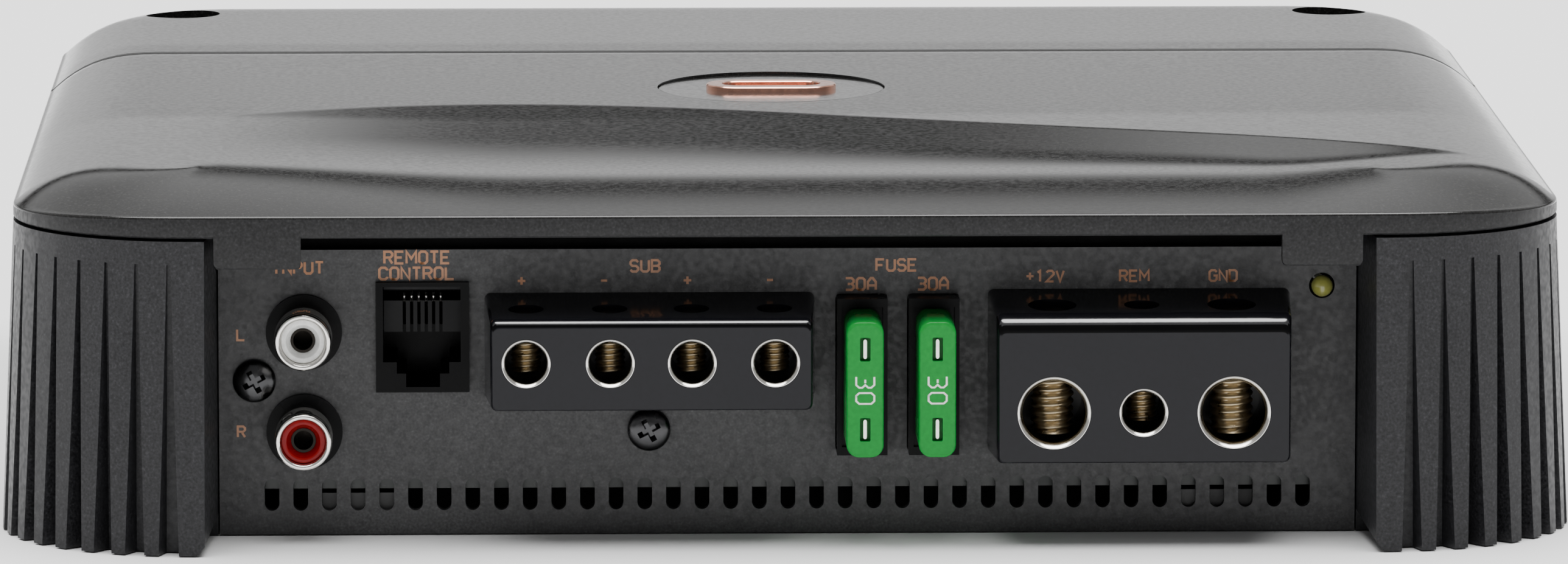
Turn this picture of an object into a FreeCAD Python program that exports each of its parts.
import FreeCAD
import Part
import math
import os

V = FreeCAD.Vector

# overall envelope of the amplifier
WIDTH = 220.0
DEPTH = 224.0
CORNER_R = 28.0
FLARE = 1.9
PILLAR_H = 43.5
COVER_Z0 = 43.9
PANEL_HALF = 79.3
PILLAR_IN = 79.5
PILLAR_IN_FRONT = 81.0
FRONT = -DEPTH / 2.0
PANEL_Y = FRONT + 18.0
PANEL_T = 1.6
FRONT_PANEL_TOP = 40.1
REAR_PANEL_TOP = 43.4
REAR_Y = -PANEL_Y
FOOT_RUN = 1.4
FOOT_RISE = 4.2
CAVITY_X = 100.0
CAVITY_Y = 80.0

# ribs of the side heatsinks
RIB_PITCH = 5.0
RIB_STEP_DEG = 10.0
RIB_FIRST_DEG = 8.0
RIB_LAST_DEG = 88.0
RIB_TOP_Z = 40.3
GROOVE_W_LOW = 3.2
GROOVE_W_HIGH = 1.0
GROOVE_D_LOW = 3.4
GROOVE_D_HIGH = 0.35
GROOVE_ROOT_LOW = 0.55
GROOVE_ROOT_HIGH = 0.5

# top cover
TOP_FLAT = 51.1
TOP_SLOPE = 0.012
TOP_SLOPE_END = 50.0
TOP_SLOPE_START = -30.0
EDGE_Z_SIDE = 45.6
EDGE_Z_FRONT = 46.9
ROLL_SIDE = 17.5
ROLL_FRONT = 30.0
CHANNEL_DEEP = 1.9
CHANNEL_Y = -76.0
COVER_T = 2.2
SEAM_Y = 39.3
SEAM_GAP = 0.3
LEDGE_W = 5.0
LEDGE_T = 1.3
LEDGE_HALF = 97.0
LEDGE_GAP = 0.15
SKIN_DEEP = 30.0
POST_X = 103.2
PEG_R = 2.0
FRONT_POST_Y = (-66.0, -20.0, 26.0)
REAR_POST_Y = 55.0
GRID = 6.0
BADGE_R = 16.8
BADGE_Z = 50.9
BADGE_T = 1.0
BADGE_GAP = 0.1
EMBLEM_HALF = (9.6, 5.0)
EMBLEM_BAND = 2.4
EMBLEM_H = 0.75
TAB_Z = 39.6
TAB_T = 1.6
TABS = ((-79.45, -67.5), (67.8, 78.9))

# mounting holes
MOUNT_X = 89.5
MOUNT_Y = 90.0
MOUNT_R = 2.5
BUSH_R = 4.0
BUSH_FLANGE_R = 5.0
RECESS_R = 5.75
RECESS_Z = 44.4
RECESS_WALL = 1.5

# front panel features
VENT_COUNT = 37
VENT_PITCH = 4.0
VENT_W = 2.05
VENT_H = 4.5
VENT_Z = 5.6
RCA_X = -67.4
RCA_Z = (28.6, 14.6)
RCA_R = 4.0
RCA_ROOT_R = 3.7
RCA_BORE_R = 3.1
RCA_PIN_R = 1.7
RCA_RING_R = 5.3
RCA_LEN = 10.5
SCREW_SPOTS = ((-74.35, 21.76), (-19.4, 14.7))
REAR_SCREW_SPOTS = ((-70.0, 24.0), (70.0, 24.0))
SCREW_HEAD_R = 3.0
SCREW_SHANK_R = 1.5
LED_X = 74.5
LED_Z = 34.6

# control socket
JACK_X = (-57.4, -44.4)
JACK_Z = (20.15, 35.6)
JACK_MID = -50.9
JACK_FACE = PANEL_Y - 1.0
JACK_DEEP = 13.5
JACK_PITCH = 1.02

# screw terminal blocks
BLOCK_FACE = PANEL_Y - 15.5
BLOCK_BACK = 12.0
SPK_X = (-36.53, -24.92, -13.61, -2.11)
SPK_Z = 26.25
SPK_BACK_X = (-41.0, 2.4)
SPK_BACK_Z = (20.5, 32.5)
PWR_X = (36.4, 48.8, 61.3)
PWR_Z = 19.1
PWR_BACK_X = (29.2, 68.6)
PWR_BACK_Z = (12.6, 31.6)
SMALL_NOSE = 3.35
SMALL_BORE = 2.7
SMALL_HALF = 4.2
SMALL_SCREW = 2.1
BIG_NOSE = 5.05
BIG_BORE = 4.4
BIG_HALF = 5.8
BIG_SCREW = 3.0
NOSE_LEN = 2.0
MOUTH_LEN = 3.2
CHAMBER_STEP = 0.2
BORE_DEEP = 16.0
RECEIVER_BACK = BLOCK_FACE + 17.5
SCREW_Y = BLOCK_FACE + 6.4
SCREW_FIT = 0.05
CLAMP_GAP = 0.9
ACCESS_GAP = 0.35
SPK_SCREW_TOP = 32.0
PWR_SCREW_TOP = 31.8

# fuses
FUSE_X = (10.25, 20.25)
FUSE_Z = 22.55
FUSE_W = 5.15
FUSE_H = 19.05
FUSE_P = 16.0
FUSE_L = 12.4
HOLDER_W = 7.0
HOLDER_H = 22.0
HOLDER_P = 4.4
FUSE_HOLE_GAP = 0.15
FUSE_HOLE_R = 0.8
FUSE_SHOULDER_R = 1.6
FUSE_RIM_R = 0.35
BLADE_W = 5.2
BLADE_T = 0.65
BLADE_L = 7.0
BLADE_DZ = 5.1

# circuit board and what stands on it
BOARD_Z = 6.0
BOARD_T = 1.6
BASE_T = 1.5

BOARD_TOP = BOARD_Z + BOARD_T
BOARD_HOLE_X = 88.0
BOARD_HOLE_Y = 70.0
POST_R = 3.5
BASE_SCREW_X = 60.0
BASE_SCREW_Y = 88.0
BASE_SCREW_SHANK_R = 1.4
BASE_SCREW_END = 5.5
NUT_TOP = 5.6
NUT_WALL_Y = 92.4
TOROID_AT = (38.0, -22.0)
TOROID_SIZE = (24.0, 9.0, 22.0, 5.0)
INDUCTOR_AT = (-48.0, -22.0)
INDUCTOR_SIZE = (16.0, 7.0, 14.0, 3.5)
CAPACITORS = ((-70.0, -55.0), (-47.0, -55.0), (-8.0, -50.0), (-8.0, -27.0))
CAPACITOR_R = 9.0
CAPACITOR_H = 34.0
COMPONENTS = (
    (-60, -36, 30, 58, 15),
    (-28, -14, 8, 28, 16),
    (-26, -8, 46, 60, 12),
    (6, 26, 22, 30, 10),
    (30, 50, 26, 44, 14),
    (64, 78, -12, 14, 17),
    (58, 74, 34, 58, 12),
    (-76, -68, -6, 20, 20),
    (2, 16, 44, 62, 8),
)
TRANSISTOR_Y = (-52.0, -26.0, 0.0, 26.0, 52.0)
TRANSISTOR_Z = (14.0, 29.5)
TRANSISTOR_HALF = 5.1
PAD_X = 99.3
BAR_X = (92.4, 94.9)
BAR_SCREW_X = 90.6
BAR_SCREW_Y = (-39.0, -13.0, 13.0, 39.0)
LEG_PITCH = 2.54

# rear controls
KNOB_X = (-8.0, 18.0, 44.0)
CONTROL_Z = 24.0
KNOB_R = 5.5
SHAFT_R = 3.0
COLLAR_R = 4.0
COLLAR_OUT = 1.2
POT_HALF = 7.0
POT_DEEP = 10.0
CAP_GAP = 1.6
CAP_LEN = 7.0
FLUTES = 18
FLUTE_R = 0.7
SWITCH_X = -40.0
SWITCH_HALF = (5.0, 2.2)

# reach of the cutting tools beyond the part
TALL = 60.0
OVER = 1.0


def box(x0, x1, y0, y1, z0, z1):
    return Part.makeBox(x1 - x0, y1 - y0, z1 - z0, V(x0, y0, z0))


def rod_y(x, z, r, y0, y1):
    return Part.makeCylinder(r, y1 - y0, V(x, y0, z), V(0, 1, 0))


def rod_z(x, y, r, z0, z1):
    return Part.makeCylinder(r, z1 - z0, V(x, y, z0), V(0, 0, 1))


def joined(shapes):
    return shapes[0].multiFuse(shapes[1:]).removeSplitter()


def polygon(points):
    return Part.makePolygon(points + [points[0]])


def outline(half_x, half_y, r, z):
    """Rounded rectangle in plan as a closed wire."""
    edges = []
    corners = ((1, 1, 0), (-1, 1, 90), (-1, -1, 180), (1, -1, 270))
    ends = []
    for sx, sy, start in corners:
        c = V(sx * (half_x - r), sy * (half_y - r), z)
        arc = Part.ArcOfCircle(
            Part.Circle(c, V(0, 0, 1), r),
            math.radians(start),
            math.radians(start + 90),
        )
        ends.append(arc.toShape())
    for k in range(4):
        edges.append(ends[k])
        a = ends[k].valueAt(ends[k].LastParameter)
        b = ends[(k + 1) % 4].valueAt(ends[(k + 1) % 4].FirstParameter)
        edges.append(Part.LineSegment(a, b).toShape())
    return Part.Wire(edges)


def prism(wire, height):
    return Part.Face(wire).extrude(V(0, 0, height))


def loft_box(near, far):
    """Tapered box between two rectangles (y, x0, x1, z0, z1)."""
    wires = []
    for y, x0, x1, z0, z1 in (near, far):
        wires.append(polygon([V(x0, y, z0), V(x1, y, z0), V(x1, y, z1), V(x0, y, z1)]))
    return Part.makeLoft(wires, True, True)


def edges_where(shape, test):
    return [e for e in shape.Edges if test(e.BoundBox)]


# ------------------------------------------------------------------ heatsinks
def groove(point, normal):
    """One tapered groove: wide and deep at the floor, fading out below the rim."""
    across = V(-normal.y, normal.x, 0)
    inset = FLARE * RIB_TOP_Z / PILLAR_H
    sections = (
        (-OVER / 2.0, GROOVE_W_LOW, GROOVE_D_LOW, GROOVE_ROOT_LOW),
        (RIB_TOP_Z, GROOVE_W_HIGH, inset + GROOVE_D_HIGH, GROOVE_ROOT_HIGH),
    )
    wires = []
    for z, width, deep, root in sections:
        outer = point + normal * OVER
        inner = point - normal * deep
        a = across * (width / 2.0)
        b = across * (width * root / 2.0)
        lift = V(0, 0, z)
        wires.append(
            polygon([outer + a + lift, inner + b + lift, inner - b + lift, outer - a + lift])
        )
    return Part.makeLoft(wires, True, True)


def groove_spots():
    """Foot points and outward normals of all grooves on the right side."""
    spots = []
    cx = WIDTH / 2.0 - CORNER_R
    cy = DEPTH / 2.0 - CORNER_R
    count = int(round((RIB_LAST_DEG - RIB_FIRST_DEG) / RIB_STEP_DEG)) + 1
    for end in (-1, 1):
        for k in range(count):
            a = math.radians(RIB_FIRST_DEG + k * RIB_STEP_DEG)
            n = V(math.sin(a), end * math.cos(a), 0)
            spots.append((V(cx, end * cy, 0) + n * CORNER_R, n))
    rows = int((cy - 4.0) / RIB_PITCH)
    for k in range(-rows, rows + 1):
        spots.append((V(WIDTH / 2.0, k * RIB_PITCH, 0), V(1, 0, 0)))
    return spots


def right_heatsink():
    low = outline(WIDTH / 2.0, DEPTH / 2.0, CORNER_R, 0)
    high = outline(WIDTH / 2.0 - FLARE, DEPTH / 2.0 - FLARE, CORNER_R - FLARE, PILLAR_H)
    body = Part.makeLoft([low, high], True, True)
    body = body.cut(box(-WIDTH, PILLAR_IN, -DEPTH, DEPTH, -OVER, TALL))
    body = body.cut(box(0, CAVITY_X, -CAVITY_Y, CAVITY_Y, -OVER, TALL))
    for end in (-1, 1):
        tip = end * (DEPTH / 2.0 + OVER)
        wedge = polygon(
            [
                V(PILLAR_IN - OVER, end * REAR_Y, -OVER),
                V(PILLAR_IN, end * REAR_Y, -OVER),
                V(PILLAR_IN_FRONT, tip, -OVER),
                V(PILLAR_IN - OVER, tip, -OVER),
            ]
        )
        body = body.cut(prism(wedge, TALL))
        foot = Part.Face(
            polygon(
                [
                    V(PILLAR_IN - OVER, end * REAR_Y, -OVER / 2.0),
                    V(PILLAR_IN_FRONT + FOOT_RUN, end * REAR_Y, -OVER / 2.0),
                    V(PILLAR_IN - OVER, end * REAR_Y, FOOT_RISE),
                ]
            )
        ).extrude(V(0, end * WIDTH, 0))
        body = body.cut(foot)
        body = body.cut(rod_z(MOUNT_X, end * MOUNT_Y, BUSH_R, -OVER, TALL))
    body = body.cut([groove(p, n) for p, n in groove_spots()])
    return body


# ---------------------------------------------------------------- plates
def base_plate():
    plate = box(-CAVITY_X + 0.3, CAVITY_X - 0.3, -CAVITY_Y + 0.3, CAVITY_Y - 0.3, 0, BASE_T)
    tongue = box(-PANEL_HALF, PANEL_HALF, PANEL_Y, REAR_Y, 0, BASE_T)
    posts = []
    for x, y in board_holes():
        posts.append(rod_z(x, y, POST_R, BASE_T, BOARD_Z))
    plate = joined([plate, tongue] + posts)
    for x, y in base_screw_spots():
        plate = plate.cut(Part.makeCone(2.7, 1.5, BASE_T, V(x, y, 0), V(0, 0, 1)))
    return plate


def base_screw_spots():
    spots = []
    for x in (-BASE_SCREW_X, BASE_SCREW_X):
        for y in (-BASE_SCREW_Y, BASE_SCREW_Y):
            spots.append((x, y))
    return spots


def base_screws():
    screws = []
    for x, y in base_screw_spots():
        head = Part.makeCone(2.65, 1.45, BASE_T, V(x, y, 0), V(0, 0, 1))
        shank = rod_z(x, y, BASE_SCREW_SHANK_R, BASE_T, BASE_SCREW_END)
        slot = box(x - 1.5, x + 1.5, y - 0.3, y + 0.3, 0, 0.7)
        cross = box(x - 0.3, x + 0.3, y - 1.5, y + 1.5, 0, 0.7)
        screws.append(head.fuse(shank).cut([slot, cross]))
    return Part.makeCompound(screws)


def base_nuts():
    """Blocks behind the panels that the floor screws bite into."""
    nuts = []
    for x, y in base_screw_spots():
        wall_y = math.copysign(NUT_WALL_Y, y)
        block = box(x - 5, x + 5, y - 3.5, y + 3.5, BASE_T, NUT_TOP)
        wall = box(x - 5, x + 5, min(y, wall_y), max(y, wall_y), BASE_T, NUT_TOP)
        nuts.append(joined([block, wall]).cut(rod_z(x, y, BASE_SCREW_SHANK_R, 0, TALL)))
    return Part.makeCompound(nuts)


def vent_tools(y0, y1):
    tools = []
    flat = (VENT_H - VENT_W) / 2.0
    half = VENT_W / 2.0
    for k in range(VENT_COUNT):
        x = (k - (VENT_COUNT - 1) / 2.0) * VENT_PITCH
        tools.append(box(x - half, x + half, y0, y1, VENT_Z - flat, VENT_Z + flat))
        tools.append(rod_y(x, VENT_Z - flat, half, y0, y1))
        tools.append(rod_y(x, VENT_Z + flat, half, y0, y1))
    return tools


def front_panel():
    y0 = PANEL_Y
    y1 = PANEL_Y + PANEL_T
    plate = box(-PANEL_HALF, PANEL_HALF, y0, y1, BASE_T, FRONT_PANEL_TOP)
    cuts = vent_tools(y0 - OVER, y1 + OVER)
    for z in RCA_Z:
        cuts.append(rod_y(RCA_X, z, RCA_RING_R, y0 - OVER, y1 + OVER))
    for x, z in SCREW_SPOTS:
        cuts.append(rod_y(x, z, 1.6, y0 - OVER, y1 + OVER))
    cuts.append(box(JACK_X[0], JACK_X[1], y0 - OVER, y1 + OVER, JACK_Z[0], JACK_Z[1]))
    cuts.append(box(*SPK_BACK_X, y0 - OVER, y1 + OVER, *SPK_BACK_Z))
    cuts.append(box(*PWR_BACK_X, y0 - OVER, y1 + OVER, *PWR_BACK_Z))
    for x in FUSE_X:
        low = FUSE_Z - HOLDER_H / 2.0 - FUSE_HOLE_GAP
        high = FUSE_Z + HOLDER_H / 2.0 + FUSE_HOLE_GAP
        half = HOLDER_W / 2.0 + FUSE_HOLE_GAP
        hole = box(x - half, x + half, y0 - OVER, y1 + OVER, low, high)
        corners = edges_where(hole, lambda b: b.YLength > PANEL_T)
        cuts.append(hole.makeFillet(FUSE_HOLE_R, corners))
    cuts.append(rod_y(LED_X, LED_Z, 1.8, y0 - OVER, y1 + OVER))
    return plate.cut(cuts)


def rear_panel():
    y0 = REAR_Y - PANEL_T
    y1 = REAR_Y
    plate = box(-PANEL_HALF, PANEL_HALF, y0, y1, BASE_T, REAR_PANEL_TOP)
    cuts = vent_tools(y0 - OVER, y1 + OVER)
    for x in KNOB_X:
        cuts.append(rod_y(x, CONTROL_Z, COLLAR_R, y0 - OVER, y1 + OVER))
    for x, z in REAR_SCREW_SPOTS:
        cuts.append(rod_y(x, z, 1.6, y0 - OVER, y1 + OVER))
    cuts.append(switch_opening(y0 - OVER, y1 + OVER))
    return plate.cut(cuts)


def switch_opening(y0, y1):
    half_x, half_z = SWITCH_HALF
    return box(SWITCH_X - half_x, SWITCH_X + half_x, y0, y1, CONTROL_Z - half_z, CONTROL_Z + half_z)


def pan_screw(x, z, y_face, out):
    """Pan-head cross-slot screw; out is -1 on the front panel and 1 on the rear one."""
    base = Part.makeCylinder(SCREW_HEAD_R, 0.7, V(x, y_face, z), V(0, out, 0))
    top = Part.makeCone(SCREW_HEAD_R, 1.7, 1.2, V(x, y_face + out * 0.7, z), V(0, out, 0))
    shank = Part.makeCylinder(1.5, 7.0, V(x, y_face, z), V(0, -out, 0))
    y0, y1 = sorted((y_face + out * 0.8, y_face + out * 3.0))
    slots = [
        box(x - 1.4, x + 1.4, y0, y1, z - 0.3, z + 0.3),
        box(x - 0.3, x + 0.3, y0, y1, z - 1.4, z + 1.4),
    ]
    return joined([base, top, shank]).cut(slots)


def front_panel_screws():
    return Part.makeCompound([pan_screw(x, z, PANEL_Y, -1) for x, z in SCREW_SPOTS])


def rear_panel_screws():
    return Part.makeCompound([pan_screw(x, z, REAR_Y, 1) for x, z in REAR_SCREW_SPOTS])


def rear_screw_blocks():
    blocks = []
    for x, z in REAR_SCREW_SPOTS:
        block = box(x - 4, x + 4, REAR_Y - PANEL_T - 7, REAR_Y - PANEL_T, z - 4, z + 4)
        blocks.append(block.cut(rod_y(x, z, 1.5, 0, 120)))
    return Part.makeCompound(blocks)


def mounting_bushes():
    bushes = []
    for x in (-MOUNT_X, MOUNT_X):
        for y in (-MOUNT_Y, MOUNT_Y):
            tube = rod_z(x, y, BUSH_R, 0, PILLAR_H)
            flange = rod_z(x, y, BUSH_FLANGE_R, PILLAR_H, PILLAR_H + 0.8)
            bushes.append(joined([tube, flange]).cut(rod_z(x, y, MOUNT_R, -1, 60)))
    return Part.makeCompound(bushes)


# ------------------------------------------------------------------ top cover
def smooth(a, b, t):
    u = min(max((t - a) / (b - a), 0.0), 1.0)
    return u * u * (3.0 - 2.0 * u)


def crest_y(x):
    """Plan line of the wave's crest, front-left to front-right."""
    t = x / 100.0
    return -27.3 - 37.9 * t - 21.2 * t**2 + 42.1 * t**3 - 12.5 * t**4 - 22.2 * t**5


def edge_distance(x, y):
    """Distance inside the cover's outline, and how much the nearest edge faces the front."""
    r = CORNER_R - FLARE
    qx = abs(x) - (WIDTH / 2.0 - FLARE - r)
    qy = abs(y) - (DEPTH / 2.0 - FLARE - r)
    away = math.hypot(max(qx, 0.0), max(qy, 0.0))
    inside = r - away - min(max(qx, qy), 0.0)
    front = 0.0
    if y < 0 and away > 0:
        front = (max(qy, 0.0) / away) ** 2
    elif y < 0 and qy > qx:
        front = 1.0
    return inside, front


def top_height(x, y):
    """Height of the cover's outer skin above the floor."""
    run = min(max(y, TOP_SLOPE_START), TOP_SLOPE_END)
    high = TOP_FLAT + TOP_SLOPE * run
    crest = crest_y(max(min(x, 100.0), -100.0))
    u = min(max((crest - y) / (crest - CHANNEL_Y), 0.0), 1.0)
    fall = (u - max(0.0, u - 0.5) ** 2) / 0.75
    deep = CHANNEL_DEEP * smooth(-92.0, -35.0, x) * (1.0 - smooth(66.0, 98.0, x))
    high -= deep * fall
    inside, front = edge_distance(x, y)
    edge = EDGE_Z_SIDE + (EDGE_Z_FRONT - EDGE_Z_SIDE) * front
    roll = ROLL_SIDE + (ROLL_FRONT - ROLL_SIDE) * front
    power = 3.0 - 1.2 * front
    return high - (high - edge) * max(0.0, 1.0 - inside / roll) ** power


def skin_face():
    wide = WIDTH + 2.0 * GRID
    long = DEPTH + 2.0 * GRID
    nx = int(round(wide / GRID))
    ny = int(round(long / GRID))
    rows = []
    for i in range(nx + 1):
        x = -wide / 2.0 + i * wide / nx
        row = []
        for j in range(ny + 1):
            y = -long / 2.0 + j * long / ny
            row.append(V(x, y, top_height(x, y)))
        rows.append(row)
    surface = Part.BSplineSurface()
    surface.interpolate(rows)
    return surface.toShape()


def below(face, drop, height):
    """Solid of the given height hanging under the skin lowered by drop."""
    moved = face.copy()
    moved.translate(V(0, 0, -drop))
    return moved.extrude(V(0, 0, -height))


def whole_cover(face):
    hx = WIDTH / 2.0 - FLARE
    hy = DEPTH / 2.0 - FLARE
    r = CORNER_R - FLARE
    shell = prism(outline(hx, hy, r, COVER_Z0), TALL).common(below(face, 0, SKIN_DEEP))
    inner = prism(outline(hx - COVER_T, hy - COVER_T, r - COVER_T, COVER_Z0 - OVER), TALL)
    return shell.cut(inner.common(below(face, COVER_T, SKIN_DEEP)))


def cover_post(side, y, face):
    """Peg that rests the cover on a heatsink."""
    post = rod_z(side * POST_X, y, PEG_R, PILLAR_H, TALL)
    return post.common(below(face, COVER_T / 2.0, SKIN_DEEP))


def front_cover(shell, face):
    part = shell.common(box(-WIDTH, WIDTH, -DEPTH, SEAM_Y - SEAM_GAP / 2.0, 0, TALL))
    extra = []
    tab_front = FRONT + FLARE
    for x0, x1 in TABS:
        extra.append(box(x0, x1, tab_front, tab_front + TAB_T, TAB_Z, COVER_Z0 + 1.0))
    for side in (-1, 1):
        for y in FRONT_POST_Y:
            extra.append(cover_post(side, y, face))
    part = joined([part] + extra)
    return part.cut(rod_z(0, 0, BADGE_R, BADGE_Z - BADGE_T, TALL))


def rear_cover(shell, face):
    part = shell.common(box(-WIDTH, WIDTH, SEAM_Y + SEAM_GAP / 2.0, DEPTH, 0, TALL))
    ledge = below(face, COVER_T + LEDGE_GAP, LEDGE_T)
    ledge = ledge.common(box(-LEDGE_HALF, LEDGE_HALF, SEAM_Y - LEDGE_W, SEAM_Y + 2, 0, TALL))
    bridge = below(face, COVER_T / 2.0, COVER_T)
    rear_edge = SEAM_Y + SEAM_GAP / 2.0
    bridge = bridge.common(box(-LEDGE_HALF, LEDGE_HALF, rear_edge, SEAM_Y + 2, 0, TALL))
    extra = [ledge, bridge]
    for side in (-1, 1):
        collar = rod_z(side * MOUNT_X, MOUNT_Y, RECESS_R + RECESS_WALL, RECESS_Z, TALL)
        extra.append(collar.common(below(face, 0, SKIN_DEEP)))
        extra.append(cover_post(side, REAR_POST_Y, face))
    part = joined([part] + extra)
    holes = [rod_z(side * MOUNT_X, MOUNT_Y, RECESS_R, 0, TALL) for side in (-1, 1)]
    return part.cut(holes)


def badge_disc():
    return rod_z(0, 0, BADGE_R - BADGE_GAP, BADGE_Z - BADGE_T, BADGE_Z)


def badge_emblem():
    """Plain stadium-shaped ring standing a little proud of the disc."""
    half_x, half_y = EMBLEM_HALF
    outer = stadium(half_x, half_y, BADGE_Z, EMBLEM_H)
    return outer.cut(stadium(half_x - EMBLEM_BAND, half_y - EMBLEM_BAND, BADGE_Z - 1, 3))


def stadium(half_x, half_y, z, height):
    wire = outline(half_x, half_y, half_y - 0.01, z)
    return prism(wire, height)


# ----------------------------------------------------------- terminal blocks
def small_way():
    """Sizes of a small wire way: nose, bore, half of the square body, clamp screw."""
    return SMALL_NOSE, SMALL_BORE, SMALL_HALF, SMALL_SCREW


def big_way():
    return BIG_NOSE, BIG_BORE, BIG_HALF, BIG_SCREW


def speaker_ways():
    return [(x, SPK_Z, small_way()) for x in SPK_X]


def power_ways():
    sizes = (big_way(), small_way(), big_way())
    return [(x, PWR_Z, size) for x, size in zip(PWR_X, sizes)]


def receiver(x, z, size):
    """Metal wire receiver: round nose, square body, wider chamber behind the mouth, tapped hole."""
    nose, bore, half, screw = size
    tip = rod_y(x, z, nose, BLOCK_FACE, BLOCK_FACE + NOSE_LEN)
    body = box(x - half, x + half, BLOCK_FACE + NOSE_LEN, RECEIVER_BACK, z - half, z + half)
    mouth = rod_y(x, z, bore, BLOCK_FACE - 1, BLOCK_FACE + MOUTH_LEN + 1)
    chamber = rod_y(x, z, bore + CHAMBER_STEP, BLOCK_FACE + MOUTH_LEN, BLOCK_FACE + BORE_DEEP)
    tapped = rod_z(x, SCREW_Y, screw + SCREW_FIT, z, z + half + 5)
    return joined([tip, body]).cut([mouth, chamber, tapped])


def receivers(ways):
    return Part.makeCompound([receiver(x, z, size) for x, z, size in ways])


def clamp_screw(x, z, size, top):
    """Headless slotted clamp screw standing in the wire chamber, screwed down."""
    nose, bore, half, screw = size
    body = rod_z(x, SCREW_Y, screw, z - bore + CLAMP_GAP, top)
    slot = box(x - screw - 1, x + screw + 1, SCREW_Y - 0.4, SCREW_Y + 0.4, top - 1.0, top + 1)
    return body.cut(slot)


def pocket(x, z, size):
    """Room in the plastic for a receiver and its clamp screw."""
    nose, bore, half, screw = size
    tip = rod_y(x, z, nose, BLOCK_FACE - 1, BLOCK_FACE + NOSE_LEN)
    body = box(x - half, x + half, BLOCK_FACE + NOSE_LEN, RECEIVER_BACK, z - half, z + half)
    access = rod_z(x, SCREW_Y, screw + ACCESS_GAP, z + half - 0.5, 60)
    return [tip, body, access]


def speaker_block():
    near = (PANEL_Y, -42.3, 3.7, 19.0, 34.0)
    front = loft_box(near, (BLOCK_FACE, -41.4, 3.0, 19.6, 32.3))
    rim = edges_where(front, lambda b: b.YMax < BLOCK_FACE + 0.1)
    front = front.makeFillet(0.5, rim)
    back = box(*SPK_BACK_X, PANEL_Y, PANEL_Y + BLOCK_BACK, *SPK_BACK_Z)
    x, z = SCREW_SPOTS[1]
    lug = box(x - 3.2, x + 3.2, PANEL_Y + PANEL_T, PANEL_Y + 9, 11.5, 21.0)
    cuts = [rod_y(x, z, SCREW_SHANK_R, FRONT, 0)]
    for way in speaker_ways():
        cuts += pocket(*way)
    return joined([front, back, lug]).cut(cuts)


def power_block():
    near = (PANEL_Y, 27.86, 70.0, 11.2, 34.3)
    front = loft_box(near, (BLOCK_FACE, 28.55, 69.2, 11.95, 32.6))
    crown = edges_where(front, lambda b: b.YMax < BLOCK_FACE + 0.1 and b.ZMin > 30)
    front = front.makeFillet(1.5, crown)
    back = box(*PWR_BACK_X, PANEL_Y, PANEL_Y + BLOCK_BACK, *PWR_BACK_Z)
    cuts = []
    for way in power_ways():
        cuts += pocket(*way)
    return joined([front, back]).cut(cuts)


# --------------------------------------------------------------------- fuses
def fuse_body(x):
    y0 = PANEL_Y - FUSE_P
    half_w = FUSE_W / 2
    half_h = FUSE_H / 2
    body = box(x - half_w, x + half_w, y0, y0 + FUSE_L, FUSE_Z - half_h, FUSE_Z + half_h)
    ends = edges_where(body, lambda b: b.YLength > 5)
    body = body.makeFillet(FUSE_SHOULDER_R, ends)
    rim = edges_where(body, lambda b: b.YMax < y0 + 0.01)
    body = body.makeFillet(FUSE_RIM_R, rim)
    cuts = []
    for dz in (-5.6, 5.6):
        cuts.append(box(x - 0.65, x + 0.65, y0 - 1, y0 + 1.5, FUSE_Z + dz - 1.6, FUSE_Z + dz + 1.6))
    return body.cut(cuts)


def fuse_blades(x):
    y0 = PANEL_Y - FUSE_P + FUSE_L
    blades = []
    for dz in (-BLADE_DZ, BLADE_DZ):
        z = FUSE_Z + dz
        half_t = BLADE_T / 2
        blade = box(x - half_t, x + half_t, y0, y0 + BLADE_L, z - BLADE_W / 2, z + BLADE_W / 2)
        nose = edges_where(blade, lambda b: b.YMin > y0 + BLADE_L - 0.1 and b.XLength > 0.1)
        tips = [e for e in nose if e.BoundBox.ZLength < 0.1]
        blades.append(blade.makeChamfer(0.9, tips))
    return Part.makeCompound(blades)


def fuse_holder(x):
    front = PANEL_Y - HOLDER_P
    half_w = HOLDER_W / 2
    half_h = HOLDER_H / 2
    body = box(x - half_w, x + half_w, front, PANEL_Y + 6, FUSE_Z - half_h, FUSE_Z + half_h)
    cuts = [box(x - 2.85, x + 2.85, front - 1, front + 0.9, FUSE_Z - 9.85, FUSE_Z + 9.85)]
    for dz in (-BLADE_DZ, BLADE_DZ):
        z = FUSE_Z + dz
        cuts.append(box(x - 1.1, x + 1.1, front, PANEL_Y + 5, z - 3.0, z + 3.0))
    return body.cut(cuts)


def fuse_contacts():
    clips = []
    front = PANEL_Y - HOLDER_P
    for x in FUSE_X:
        for dz in (-BLADE_DZ, BLADE_DZ):
            z = FUSE_Z + dz
            clip = box(x - 1.1, x + 1.1, front + 1.6, PANEL_Y + 5, z - 3.0, z + 3.0)
            slot = box(x - 0.5, x + 0.5, front, PANEL_Y + 4.2, z - 4, z + 4)
            clips.append(clip.cut(slot))
    return Part.makeCompound(clips)


# --------------------------------------------------------------- signal jacks
def rca_housing():
    back = PANEL_Y + PANEL_T
    body = box(-78.4, -61.4, back, back + 12, 8.7, 34.4)
    parts = [body]
    for z in RCA_Z:
        parts.append(rod_y(RCA_X, z, RCA_RING_R, PANEL_Y - 1.0, back))
    part = joined(parts)
    spot = SCREW_SPOTS[0]
    cuts = [rod_y(spot[0], spot[1], 1.5, -120, PANEL_Y + 7.5)]
    for z in RCA_Z:
        cuts.append(rod_y(RCA_X, z, RCA_ROOT_R, PANEL_Y - 2, back + 3))
    return part.cut(cuts)


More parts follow.
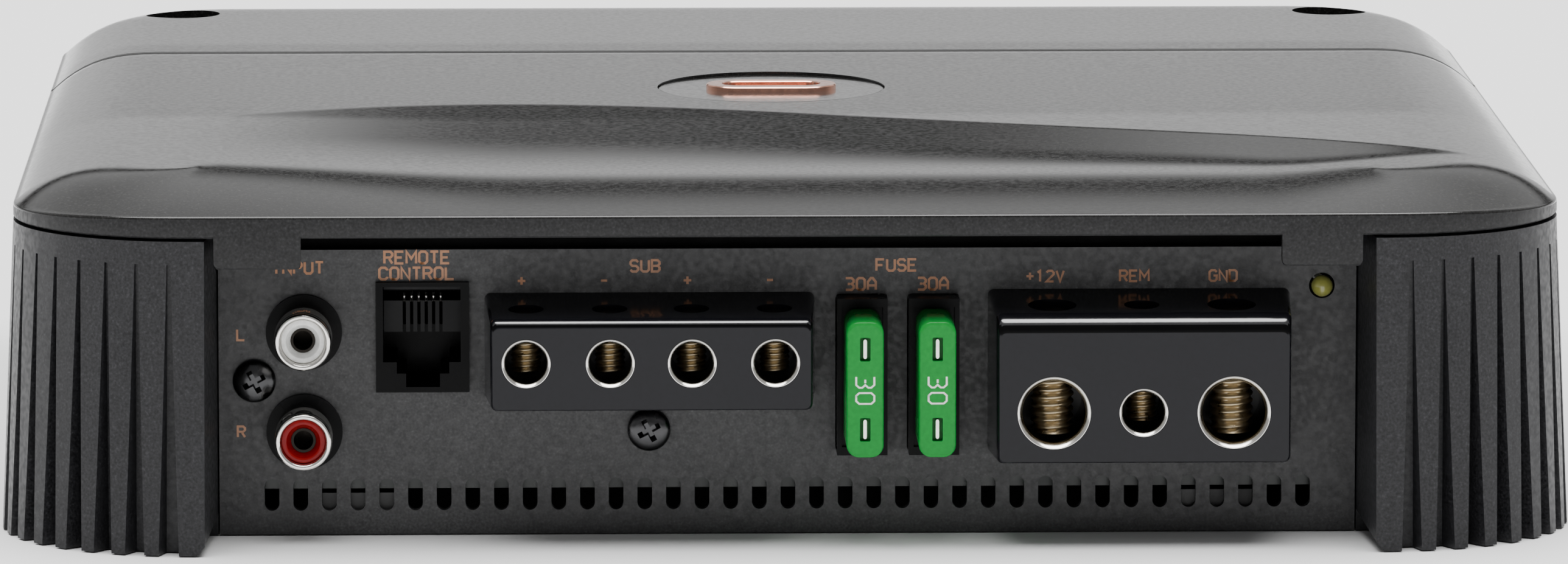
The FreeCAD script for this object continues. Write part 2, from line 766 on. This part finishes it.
def rca_shells():
    shells = []
    for z in RCA_Z:
        tube = rod_y(RCA_X, z, RCA_R, PANEL_Y - RCA_LEN, PANEL_Y - 1.0)
        rim = edges_where(tube, lambda b: b.YMax < PANEL_Y - RCA_LEN + 0.1)
        tube = tube.makeFillet(0.25, rim)
        root = rod_y(RCA_X, z, RCA_ROOT_R, PANEL_Y - 1.0, PANEL_Y + PANEL_T + 3)
        shells.append(joined([tube, root]).cut(rod_y(RCA_X, z, RCA_BORE_R, -120, 0)))
    return Part.makeCompound(shells)


def rca_insulator(z):
    plug = rod_y(RCA_X, z, RCA_BORE_R, PANEL_Y - RCA_LEN + 0.7, PANEL_Y + PANEL_T + 3)
    return plug.cut(rod_y(RCA_X, z, RCA_PIN_R, -120, PANEL_Y))


def rca_contacts():
    tubes = []
    for z in RCA_Z:
        tube = rod_y(RCA_X, z, RCA_PIN_R, PANEL_Y - RCA_LEN + 2.2, PANEL_Y)
        tubes.append(tube.cut(rod_y(RCA_X, z, 1.35, -120, PANEL_Y - 1)))
    return Part.makeCompound(tubes)


def jack_body():
    body = box(JACK_X[0], JACK_X[1], JACK_FACE, JACK_FACE + JACK_DEEP + 2, JACK_Z[0], JACK_Z[1])
    y1 = JACK_FACE + JACK_DEEP
    cuts = [
        box(-56.4, -45.6, JACK_FACE - 1, y1, 24.4, 35.0),
        box(-54.5, -47.2, JACK_FACE - 1, y1, 22.8, 25.0),
        box(-53.2, -48.5, JACK_FACE - 1, y1, 20.9, 23.0),
    ]
    return body.cut(cuts)


def jack_contacts():
    wires = []
    y1 = JACK_FACE + JACK_DEEP
    for k in range(6):
        x = JACK_MID + (k - 2.5) * JACK_PITCH
        side = polygon(
            [
                V(x - 0.25, JACK_FACE + 1.5, 35.0),
                V(x - 0.25, JACK_FACE + 1.5, 34.5),
                V(x - 0.25, y1, 31.2),
                V(x - 0.25, y1, 31.7),
            ]
        )
        wires.append(Part.Face(side).extrude(V(0.5, 0, 0)))
    return Part.makeCompound(wires)


def power_led():
    barrel = rod_y(LED_X, LED_Z, 1.5, PANEL_Y - 0.4, PANEL_Y + 4)
    dome = Part.makeSphere(1.5, V(LED_X, PANEL_Y - 0.4, LED_Z))
    return joined([barrel, dome])


# ------------------------------------------------------------ inside the case
def board_holes():
    rows = (-BOARD_HOLE_Y, BOARD_HOLE_Y)
    return [(x, y) for x in (-BOARD_HOLE_X, BOARD_HOLE_X) for y in rows]


def main_board():
    wide = box(-98.5, 98.5, -78.5, 78.5, BOARD_Z, BOARD_TOP)
    long = box(-78.4, 78.4, -91.0, 91.0, BOARD_Z, BOARD_TOP)
    holes = [rod_z(x, y, 1.6, 0, TALL) for x, y in board_holes()]
    return joined([wide, long]).cut(holes)


def board_screws():
    screws = []
    for x, y in board_holes():
        head = rod_z(x, y, 2.8, BOARD_TOP, BOARD_TOP + 1.8)
        shank = rod_z(x, y, 1.5, BOARD_Z, BOARD_TOP)
        slot = box(x - 2, x + 2, y - 0.35, y + 0.35, BOARD_TOP + 1.0, BOARD_TOP + 3)
        screws.append(joined([head, shank]).cut(slot))
    return Part.makeCompound(screws)


def ring_coil(x, y, z0, outer, inner, height, r):
    ring = rod_z(x, y, outer, z0, z0 + height).cut(rod_z(x, y, inner, z0 - 1, z0 + height + 1))
    circles = [e for e in ring.Edges if e.Curve.TypeId == "Part::GeomCircle"]
    return ring.makeFillet(r, circles)


def toroid_transformer():
    return ring_coil(*TOROID_AT, BOARD_TOP, *TOROID_SIZE)


def toroid_clamp():
    top = BOARD_TOP + TOROID_SIZE[2]
    washer = rod_z(*TOROID_AT, 14.0, top, top + 1.5)
    bolt = rod_z(*TOROID_AT, 2.5, BOARD_TOP, top + 1.5)
    nut = rod_z(*TOROID_AT, 4.0, top + 1.5, top + 5.0)
    return joined([washer, bolt, nut])


def output_inductor():
    return ring_coil(*INDUCTOR_AT, BOARD_TOP, *INDUCTOR_SIZE)


def filter_capacitors():
    cans = []
    top = BOARD_TOP + CAPACITOR_H
    for x, y in CAPACITORS:
        can = rod_z(x, y, CAPACITOR_R, BOARD_TOP, top)
        rims = edges_where(can, lambda b: b.ZMin > top - 1)
        cans.append(can.makeFillet(1.0, rims))
    return Part.makeCompound(cans)


def power_transistors(side):
    """Row of flat power packages along one heatsink, legs down to the board."""
    parts = []
    low, high = TRANSISTOR_Z
    for y in TRANSISTOR_Y:
        x0, x1 = sorted((side * BAR_X[1], side * PAD_X))
        body = box(x0, x1, y - TRANSISTOR_HALF, y + TRANSISTOR_HALF, low, high)
        legs = []
        for dy in (-LEG_PITCH, 0.0, LEG_PITCH):
            lx0, lx1 = sorted((side * 96.6, side * 97.2))
            legs.append(box(lx0, lx1, y + dy - 0.4, y + dy + 0.4, BOARD_TOP, low))
        parts.append(joined([body] + legs))
    return Part.makeCompound(parts)


def insulating_pad(side):
    x0, x1 = sorted((side * PAD_X, side * CAVITY_X))
    return box(x0, x1, -62.0, 62.0, 12.0, 32.0)


def clamp_bar(side):
    x0, x1 = sorted((side * BAR_X[0], side * BAR_X[1]))
    bar = box(x0, x1, -66.0, 66.0, 18.0, 26.0)
    screws = []
    for y in BAR_SCREW_Y:
        s0, s1 = sorted((side * BAR_SCREW_X, side * BAR_X[0]))
        head = Part.makeCylinder(3.0, s1 - s0, V(s0, y, 22.0), V(1, 0, 0))
        screws.append(head)
    return joined([bar] + screws)


def board_components():
    blocks = [box(a, b, c, d, BOARD_TOP, BOARD_TOP + h) for a, b, c, d, h in COMPONENTS]
    return Part.makeCompound(blocks)


# --------------------------------------------------------------- rear controls
def control_pots():
    """Three rotary control bodies with threaded collars through the rear panel."""
    parts = []
    for x in KNOB_X:
        inner = REAR_Y - PANEL_T
        low = CONTROL_Z - POT_HALF
        high = CONTROL_Z + POT_HALF
        can = box(x - POT_HALF, x + POT_HALF, inner - POT_DEEP, inner, low, high)
        collar = rod_y(x, CONTROL_Z, COLLAR_R, inner, REAR_Y + COLLAR_OUT)
        hole = rod_y(x, CONTROL_Z, SHAFT_R + SCREW_FIT, inner - 8, TALL * 2.0)
        parts.append(joined([can, collar]).cut(hole))
    return Part.makeCompound(parts)


def knob(x):
    """Control knob: fluted cap with a pointer groove, on a shaft in the collar."""
    face = REAR_Y + CAP_GAP
    cap = rod_y(x, CONTROL_Z, KNOB_R, face, face + CAP_LEN)
    rim = edges_where(cap, lambda b: b.YMin > face + CAP_LEN - 0.1)
    cap = cap.makeFillet(0.8, rim)
    shaft = rod_y(x, CONTROL_Z, SHAFT_R, REAR_Y - PANEL_T - 7, face + 1)
    part = joined([cap, shaft])
    cuts = [box(x - 0.4, x + 0.4, face + 6.3, face + 8, CONTROL_Z, CONTROL_Z + KNOB_R + 1)]
    reach = KNOB_R + FLUTE_R / 2.0
    for k in range(FLUTES):
        a = 2.0 * math.pi * (k + 0.5) / FLUTES
        fx = x + reach * math.sin(a)
        fz = CONTROL_Z + reach * math.cos(a)
        cuts.append(rod_y(fx, fz, FLUTE_R, face - OVER, face + 5.6))
    return part.cut(cuts)


def switch_body():
    inner = REAR_Y - PANEL_T
    can = box(SWITCH_X - 8, SWITCH_X + 8, inner - 7, inner, CONTROL_Z - 4.5, CONTROL_Z + 4.5)
    return can.cut(switch_opening(inner - 3, TALL * 2.0))


def switch_slider():
    inner = REAR_Y - PANEL_T
    base = box(SWITCH_X - 4.8, SWITCH_X - 0.2, inner - 2.7, inner - 0.5, CONTROL_Z - 2.0, CONTROL_Z + 2.0)
    stem = box(SWITCH_X - 4.3, SWITCH_X - 0.7, inner - 1, REAR_Y + 2.2, CONTROL_Z - 1.6, CONTROL_Z + 1.6)
    return joined([base, stem])


def mirrored(shape):
    return shape.mirror(V(0, 0, 0), V(1, 0, 0))


def build():
    right = right_heatsink()
    face = skin_face()
    shell = whole_cover(face)
    parts = {
        "right_heatsink": right,
        "left_heatsink": mirrored(right),
        "base_plate": base_plate(),
        "base_screws": base_screws(),
        "base_nut_blocks": base_nuts(),
        "front_panel": front_panel(),
        "rear_panel": rear_panel(),
        "front_panel_screws": front_panel_screws(),
        "rear_panel_screws": rear_panel_screws(),
        "rear_screw_blocks": rear_screw_blocks(),
        "mounting_bushes": mounting_bushes(),
        "front_cover": front_cover(shell, face),
        "rear_cover": rear_cover(shell, face),
        "badge_disc": badge_disc(),
        "badge_emblem": badge_emblem(),
        "speaker_terminal_block": speaker_block(),
        "speaker_wire_inserts": receivers(speaker_ways()),
        "power_terminal_block": power_block(),
        "power_wire_inserts": receivers(power_ways()),
        "fuse_contacts": fuse_contacts(),
        "rca_housing": rca_housing(),
        "rca_shells": rca_shells(),
        "rca_insulator_left": rca_insulator(RCA_Z[0]),
        "rca_insulator_right": rca_insulator(RCA_Z[1]),
        "rca_contacts": rca_contacts(),
        "control_jack_body": jack_body(),
        "control_jack_contacts": jack_contacts(),
        "power_led": power_led(),
        "main_board": main_board(),
        "board_screws": board_screws(),
        "board_components": board_components(),
        "toroid_transformer": toroid_transformer(),
        "toroid_clamp": toroid_clamp(),
        "output_inductor": output_inductor(),
        "filter_capacitors": filter_capacitors(),
        "control_pots": control_pots(),
        "filter_switch_body": switch_body(),
        "filter_switch_slider": switch_slider(),
    }
    for k, way in enumerate(speaker_ways()):
        parts["speaker_clamp_screw_%d" % (k + 1)] = clamp_screw(*way, SPK_SCREW_TOP)
    for k, way in enumerate(power_ways()):
        parts["power_clamp_screw_%d" % (k + 1)] = clamp_screw(*way, PWR_SCREW_TOP)
    for side, x in zip(("left", "right"), FUSE_X):
        parts["fuse_%s_body" % side] = fuse_body(x)
        parts["fuse_%s_blades" % side] = fuse_blades(x)
        parts["fuse_holder_%s" % side] = fuse_holder(x)
    for side, sign in (("left", -1), ("right", 1)):
        parts["power_transistors_%s" % side] = power_transistors(sign)
        parts["insulating_pad_%s" % side] = insulating_pad(sign)
        parts["clamp_bar_%s" % side] = clamp_bar(sign)
    for name, x in zip(("level", "crossover", "bass"), KNOB_X):
        parts["%s_knob" % name] = knob(x)
    return parts


os.makedirs("parts", exist_ok=True)
for name, shape in build().items():
    shape.exportStep(os.path.join("parts", name + ".step"))
